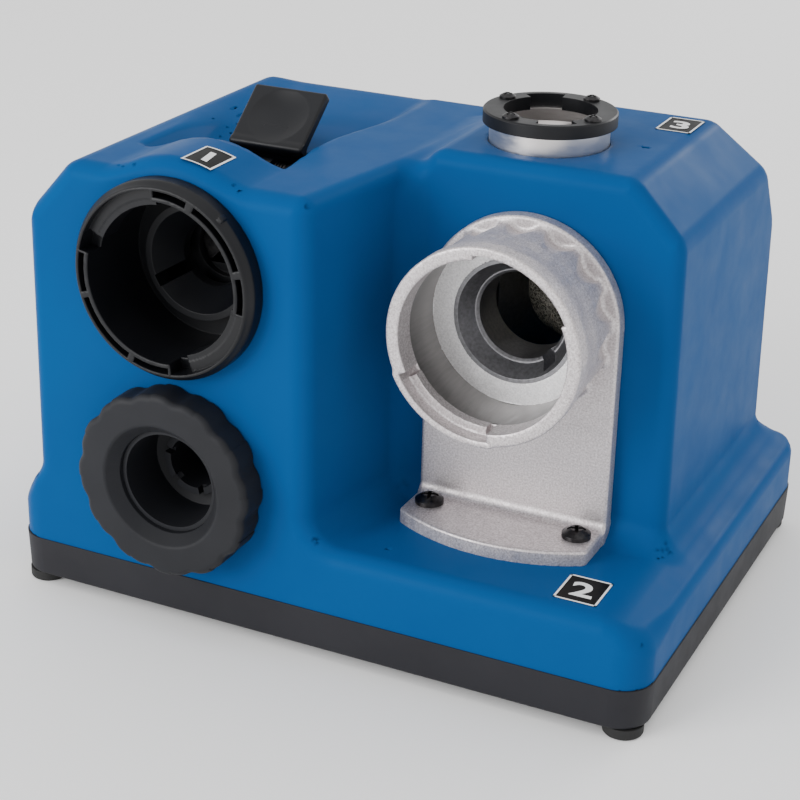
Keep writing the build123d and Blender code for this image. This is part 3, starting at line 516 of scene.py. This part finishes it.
def cut_back(shell, x, y, z):
    """Openings of the switch, the cable gland and the air vents."""
    cutout = bar(x, y, z, (SWITCH_LOW[0] + 2.2, 70.0, SWITCH_LOW[2] + 2.2),
                 (SWITCH_HIGH[0] - 2.2, 92.0, SWITCH_HIGH[2] - 2.2))
    shell = np.maximum(shell, -cutout)
    gland_x = (GLAND_LOW[0] + GLAND_HIGH[0]) / 2
    gland_z = (GLAND_LOW[2] + GLAND_HIGH[2]) / 2
    gland = np.maximum(np.hypot(x - gland_x, z - gland_z) - 6.9, 80.0 - y)
    shell = np.maximum(shell, -gland)
    across = np.abs((x - 25.5 + VENT_PITCH / 2) % VENT_PITCH - VENT_PITCH / 2)
    slot = np.maximum(across - VENT_HALF, between(z, 62.0, 112.0))
    slot = np.maximum(slot, np.maximum(between(x, 20.0, 86.0), 70.0 - y))
    return without(shell, slot, 0.5)


def housing(x, y, z):
    form = housing_form(x, y, z)
    shell = np.maximum(form, -(form + WALL))
    shell = np.maximum(shell, SEAM_Z - z)
    shell = cut_ports(shell, x, y, z)
    shell = cut_small_marks(shell, x, y, z)
    void = bar(x, y, z, (PORT_X - 15.9, HUMP_BACK_Y + 0.4, 130.0), (-26.2, -18.0, 164.5))
    shell = np.maximum(shell, -void)
    return cut_back(shell, x, y, z)


def make_housing():
    mesh = carve("upper_housing_moulding", housing, HOUSING_LOW, HOUSING_HIGH, 1.5, keep=0.62)
    add_piece("upper_housing_moulding", mesh, "base", BLUE, ["upper_housing"])


# ---------------------------------------------------------------- alignment port
RIM_Y = RING_LOW[1]
LIP_R = 28.3
# start and sweep, in degrees, of the slots that lighten the rim
SLOTS = [(69.4, 23.3), (18.1, 45.8), (-9.6, 22.6), (168.9, 25.7), (-161.3, 46.0), (-110.7, 25.5)]


# start, sweep and depth of the bayonet's two ramps and two gates
BAYONET = [(94.5, 60.5, 3.2), (-72.0, 60.5, 3.2), (155.0, 12.5, 7.6), (-83.5, 11.5, 7.6)]
NUB_TURN = radians(48)


def alignment_ring(x, y, z):
    r, a = polar_y(x, z, PORT_X, ALIGN_Z)
    flare = 34.9 - 1.7 * (1 - fade(y, RIM_Y, RIM_Y + 3.4))
    rim = both(r - flare, both(RIM_Y - y, y - FRONT_Y), 0.7)
    tube = both(r - 31.2, both(RIM_Y - y, y - RING_HIGH[1]), 0.3)
    body = np.minimum(rim, tube)
    body = without(body, np.maximum(r - LIP_R, y - RING_HIGH[1] + 3.0), 0.5)
    body = np.maximum(body, 21.2 - r)
    for start, sweep in SLOTS:
        wedge = np.maximum(y - RIM_Y - 7.0, sector(r, a, start, sweep))
        pocket = np.maximum(between(r, 29.8, 32.0), wedge)
        body = without(body, pocket, 0.25)
    for start, sweep, deep in BAYONET:
        gate = np.maximum(r - 32.0, np.maximum(y - RIM_Y - deep, sector(r, a, start, sweep)))
        body = without(body, gate, 0.4)
    for start, sweep, _ in BAYONET[:2]:
        wedge = np.maximum(between(y, RIM_Y + 3.4, RIM_Y + 12.0), sector(r, a, start, sweep))
        ramp = np.maximum(between(r, 26.2, 28.8), wedge)
        body = either(body, ramp, 0.3)
    nub_x = (x - PORT_X) * cos(NUB_TURN) + (z - ALIGN_Z) * sin(NUB_TURN)
    nub_z = (z - ALIGN_Z) * cos(NUB_TURN) - (x - PORT_X) * sin(NUB_TURN)
    nub = bar(nub_x, y, nub_z, (33.0, RIM_Y + 1.1, -1.1), (35.25, RIM_Y + 4.6, 1.1), 0.4)
    return either(body, nub, 0.3)


def make_alignment_ring():
    step = 0.62
    mesh = carve("alignment_ring_moulding", alignment_ring, RING_LOW, RING_HIGH, step)
    add_piece("alignment_ring_moulding", mesh, "base", BLACK, ["alignment_ring"])


# ---------------------------------------------------------------- chuck knob
KNOB_Y = KNOB_LOW[1]
LOBE_PITCH, LOBE_START = 30.0, 20.0    # degrees


def knob(x, y, z):
    r, a = polar_y(x, z, PORT_X, STORE_Z)
    half = LOBE_PITCH / 2
    lobe = (a - LOBE_START + half) % LOBE_PITCH - half
    notch = 1.35 * np.exp(-(lobe / 5.2) ** 2) + 0.5 * np.clip(-lobe / half, 0, 1)
    side = r - (KNOB_HIGH[0] - PORT_X - 0.05) + notch
    body = both(side, KNOB_Y - y, 2.4)
    body = both(body, y - KNOB_HIGH[1], 0.6)
    cone = 22.8 - 3.7 * np.clip((y - KNOB_Y) / 4.4, 0, 1)
    return without(body, (r - cone) * 0.8, 0.5)


def make_knob():
    step = 0.6
    mesh = carve("chuck_knob_moulding", knob, KNOB_LOW, KNOB_HIGH, step)
    add_piece("chuck_knob_moulding", mesh, "knob", KNOB, ["chuck_knob"])


# ---------------------------------------------------------------- sharpening bracket
BRACKET_LOW, BRACKET_HIGH = box_mm("sharpening_bracket")
PLATE_HALF, PLATE_T, FOOT_T = 35.0, 6.0, 5.2
TUBE_Y = BRACKET_LOW[1]
SEAT_Y = -47.5
RIM_R = 34.4
BORE_R = 29.8
FLUTES, FLUTE_AT_R = 11, 37.6


def bracket(x, y, z):
    r, a = polar_y(x, z, SHARP_X, SHARP_Z)
    dx = x - SHARP_X
    plate_y = BLOCK_Y - PLATE_T
    arch = np.where(z > SHARP_Z, r, np.abs(dx)) - PLATE_HALF - 0.3
    plate = both(arch, both(plate_y - y, y - BLOCK_Y), 1.0)
    plate = np.maximum(plate, LEDGE_Z - z)
    nose_r = 66.0
    nose = np.hypot(dx, y + 69.5 - nose_r) - nose_r
    foot = both(np.abs(dx) - PLATE_HALF, nose, 1.0)
    foot = both(foot, z - LEDGE_Z - FOOT_T, 0.9)
    foot = np.maximum(foot, np.maximum(LEDGE_Z - z, y - BLOCK_Y))
    body = either(plate, foot, 3.4)
    wall = RIM_R - 1.5 + 1.4 * fade(-y, 60.0, 70.0)
    beside = np.maximum(sector(r, a, 206.0, 71.0), 0)
    bulge = 0.9 * fade(-y, 64.0, 67.0) * np.clip(1 - beside / 2.0, 0, 1)
    tube = both(r - wall - bulge, both(TUBE_Y - y, y - plate_y - 1.0), 0.8)
    for k in range(FLUTES):
        flute = radians(-30 + 24 * k)
        u = x - SHARP_X - FLUTE_AT_R * cos(flute)
        v = z - SHARP_Z - FLUTE_AT_R * sin(flute)
        groove = both(np.hypot(u, v) - 5.2 - 2.2 * fade(y, -54.0, -43.0), -55.5 - y, 1.0)
        groove = np.maximum(groove, BORE_R + 0.9 - 1.6 * fade(y, -47.0, -44.0) - r)
        tube = without(tube, groove, 0.35)
    body = either(body, tube, 1.6)
    body = without(body, np.maximum(r - BORE_R, y - SEAT_Y), 0.5)
    body = np.maximum(body, 22.0 - r)
    upper = np.maximum(r - BORE_R - 1.4, np.maximum(y - TUBE_Y - 8.0, sector(r, a, 25.0, 73.0)))
    body = without(body, upper, 0.4)
    lower = np.maximum(r - RIM_R + 1.7, np.maximum(y - TUBE_Y - 9.0, sector(r, a, 207.0, 69.0)))
    body = without(body, lower, 0.4)
    wedge = np.maximum(between(y, TUBE_Y + 5.5, TUBE_Y + 9.5), sector(r, a, 212.0, 60.0))
    ledge = np.maximum(between(r, BORE_R - 0.3, RIM_R - 0.3), wedge)
    body = either(body, ledge, 0.5)
    for side in (-1, 1):
        hole = np.hypot(dx - side * 27.8, y + 50.0) - 2.6
        body = np.maximum(body, -np.maximum(hole, z - 60.0))
    return body


def make_bracket():
    step = 0.85
    mesh = carve("sharpening_bracket_casting", bracket, BRACKET_LOW, BRACKET_HIGH, step)
    add_piece("sharpening_bracket_casting", mesh, "base", CAST, ["sharpening_bracket"])
    mesh.materials.append(SEAT)
    mesh.materials.append(BORE_PAINTED_SHADE)
    for face in mesh.polygons:
        x, y, z = face.center / MM
        inside = hypot(x - SHARP_X, z - SHARP_Z) < BORE_R + 0.5
        if inside and abs(y - SEAT_Y) < 0.8 and face.normal.y < -0.7:
            face.material_index = 1
        # Faces of the bore's inner wall get the darkened material: painted shade.
        elif inside and TUBE_Y + 9.5 < y < SEAT_Y + 0.2:
            face.material_index = 2


# ---------------------------------------------------------------- lever
PIVOT_Y, PIVOT_Z = -31.0, 153.0


def lever(x, y, z):
    foot, tip = (-30.0, 162.4), (-10.0, 178.8)
    length = hypot(tip[0] - foot[0], tip[1] - foot[1])
    uy, uz = (tip[0] - foot[0]) / length, (tip[1] - foot[1]) / length
    along = (y - foot[0]) * uy + (z - foot[1]) * uz
    up = (z - foot[1]) * uy - (y - foot[0]) * uz
    dx = x - PORT_X
    from_pivot = np.hypot(y - PIVOT_Y, z - PIVOT_Z)
    half = 14.7
    paddle = bar(dx, along, up, (-half, 0.0, -4.0), (half, length, 0.0), 1.1)
    curl = bar(dx, along, up, (-half, -0.2, -9.0), (half, 2.6, -0.2), 1.2)
    paddle = either(paddle, curl, 1.5)
    dish_r, dish_deep = 11.6, 2.2
    ball_r = (dish_r ** 2 + dish_deep ** 2) / (2 * dish_deep)
    dish = np.sqrt(dx ** 2 + (along - 0.52 * length) ** 2 + (up - ball_r + dish_deep) ** 2) - ball_r
    paddle = without(paddle, dish, 0.15)
    hub = both(from_pivot - 5.0, between(dx, -9.0, 4.0), 0.3)
    web = np.maximum(between(along, 1.0, 14.0), between(up, -18.0, -2.0))
    web = np.maximum(between(dx, -4.0, 4.0), web)
    web = np.maximum(web, from_pivot - 17.0)
    arm = bar(dx, y, z, (-4.0, -32.6, 136.0), (4.0, -28.4, 152.0), 0.5)
    body = either(either(paddle, web, 1.0), either(hub, arm, 1.0), 1.0)
    return np.maximum(body, 2.05 - from_pivot)


def make_lever():
    step = 0.6
    mesh = carve("lever_moulding", lever, LEVER_LOW, LEVER_HIGH, step)
    add_piece("lever_moulding", mesh, "lever", BLACK, ["lever"])


# ---------------------------------------------------------------- number labels
BORDER = 0.75
FILM_LIFT, PRINT_LIFT = 0.08, 0.2


def digit_mesh(digit, height):
    """Bold slanted digit, about its own middle, in millimetres."""
    curve = bpy.data.curves.new("digit", "FONT")
    curve.body = digit
    curve.shear = -0.12
    curve.offset = 0.028
    curve.resolution_u = 6
    holder = bpy.data.objects.new("digit", curve)
    bpy.context.scene.collection.objects.link(holder)
    mesh = bpy.data.meshes.new_from_object(holder.evaluated_get(bpy.context.evaluated_depsgraph_get()))
    bpy.data.objects.remove(holder)
    points = np.array([vertex.co[:2] for vertex in mesh.vertices])
    middle = (points.max(axis=0) + points.min(axis=0)) / 2
    scale = height / np.ptp(points[:, 1])
    faces = [list(face.vertices) for face in mesh.polygons]
    return (points - middle) * scale * (1.25, 1.0), faces


def lay(name, shapes, along, lift, material, nodes=()):
    """Flat shapes in (u, v), cut fine enough to follow the surface, as one thin layer."""
    vertices, faces = [], []
    for points, polygons in shapes:
        first = len(vertices)
        vertices += [tuple(np.array(along(u, v, lift)) * MM) for u, v in points]
        faces += [[first + k for k in polygon] for polygon in polygons]
    mesh = bpy.data.meshes.new(name)
    mesh.from_pydata(vertices, [], faces)
    add_piece(name, mesh, "base", material, nodes)


def panel(u0, v0, u1, v1):
    """Rectangle as strips across u."""
    cuts = 8
    points, faces = [], []
    for k in range(cuts):
        a = u0 + (u1 - u0) * k / cuts
        b = u0 + (u1 - u0) * (k + 1) / cuts
        points += [(a, v0), (b, v0), (b, v1), (a, v1)]
        faces.append([4 * k, 4 * k + 1, 4 * k + 2, 4 * k + 3])
    return points, faces


def print_label(number, low, high, height, along):
    """Black film that replaces the label's CAD node, with a white border and digit on it."""
    name = "port_label_%d" % number
    lay(name + "_film", [panel(*low, *high)], along, FILM_LIFT, FILM, [name])
    (u0, v0), (u1, v1) = low, high
    border = [panel(u0, v0, u1, v0 + BORDER), panel(u0, v1 - BORDER, u1, v1),
              panel(u0, v0, u0 + BORDER, v1), panel(u1 - BORDER, v0, u1, v1)]
    points, faces = digit_mesh(str(number), height)
    points = points + ((u0 + u1) / 2, (v0 + v1) / 2)
    lay(name + "_print", border + [(points, faces)], along, PRINT_LIFT, WHITE)


def on_hump(u, v, lift):
    """Wraps a flat label onto the hump over port 1; u is measured round it."""
    angle = radians(90) - u / HUMP_R
    return PORT_X + (HUMP_R + lift) * cos(angle), v, ALIGN_Z + (HUMP_R + lift) * sin(angle)


def make_labels():
    print_label(1, (2.4, -89.5), (14.0, -73.0), 8.6, on_hump)
    for number, floor in ((2, LEDGE_Z), (3, TOP_RIGHT_Z)):
        low, high = box_mm("port_label_%d" % number)
        print_label(number, low[:2], high[:2], 9.6, lambda u, v, lift: (u, v, floor + lift))


# ---------------------------------------------------------------- camera, light and floor
CAMERA_MM = (274.4, -601.3, 352.3)
PAN, TILT, ROLL = radians(25.3), radians(23.67), radians(1.32)
FOCAL_PX = 1906.3
SENSOR_MM, FRAME_PX = 36.0, 800


def make_camera():
    ahead = Vector((-sin(PAN) * cos(TILT), cos(PAN) * cos(TILT), -sin(TILT)))
    level = Vector((cos(PAN), sin(PAN), 0))
    up = level.cross(ahead)
    right = cos(ROLL) * level + sin(ROLL) * up
    up = cos(ROLL) * up - sin(ROLL) * level
    data = bpy.data.cameras.new("camera")
    data.sensor_width = SENSOR_MM
    data.lens = FOCAL_PX * SENSOR_MM / FRAME_PX
    camera = bpy.data.objects.new("camera", data)
    turn = Matrix((right, up, -ahead)).transposed().to_4x4()
    camera.matrix_world = Matrix.Translation(Vector(CAMERA_MM) * MM) @ turn
    bpy.context.scene.collection.objects.link(camera)
    bpy.context.scene.camera = camera


def make_light(name, place, target, size, power):
    data = bpy.data.lights.new(name, "AREA")
    data.shape = "RECTANGLE"
    data.size, data.size_y = size
    data.energy = power
    light = bpy.data.objects.new(name, data)
    light.location = place
    light.rotation_euler = (Vector(target) - Vector(place)).to_track_quat("-Z", "Y").to_euler()
    bpy.context.scene.collection.objects.link(light)


def make_lights():
    make_light("key", (-0.8, -1.3, 0.6), (0, 0, 0.08), (0.9, 0.9), 20)
    make_light("rear", (0.66, 1.8, 0.85), (0.05, 0, 0.16), (0.8, 0.4), 11)
    make_light("top", (-0.1, -0.2, 1.6), (0, 0, 0.1), (1.0, 0.8), 1.5)
    world = bpy.data.worlds.new("studio")
    world.use_nodes = True
    world.node_tree.nodes["Background"].inputs["Color"].default_value = (1, 1, 1, 1)
    world.node_tree.nodes["Background"].inputs["Strength"].default_value = 1.2
    bpy.context.scene.world = world


def make_floor():
    reach = 3.0
    mesh = bpy.data.meshes.new("floor")
    corners = [(-reach, -reach, 0), (reach, -reach, 0), (reach, reach, 0), (-reach, reach, 0)]
    mesh.from_pydata(corners, [], [(0, 1, 2, 3)])
    material, _, _ = new_material("floor_paper", (0.97, 0.97, 0.97), 0.95)
    mesh.materials.append(material)
    floor = bpy.data.objects.new("floor", mesh)
    bpy.context.scene.collection.objects.link(floor)


make_camera()
dress_nodes()
make_housing()
make_alignment_ring()
make_knob()
make_bracket()
make_lever()
make_labels()
make_lights()
make_floor()
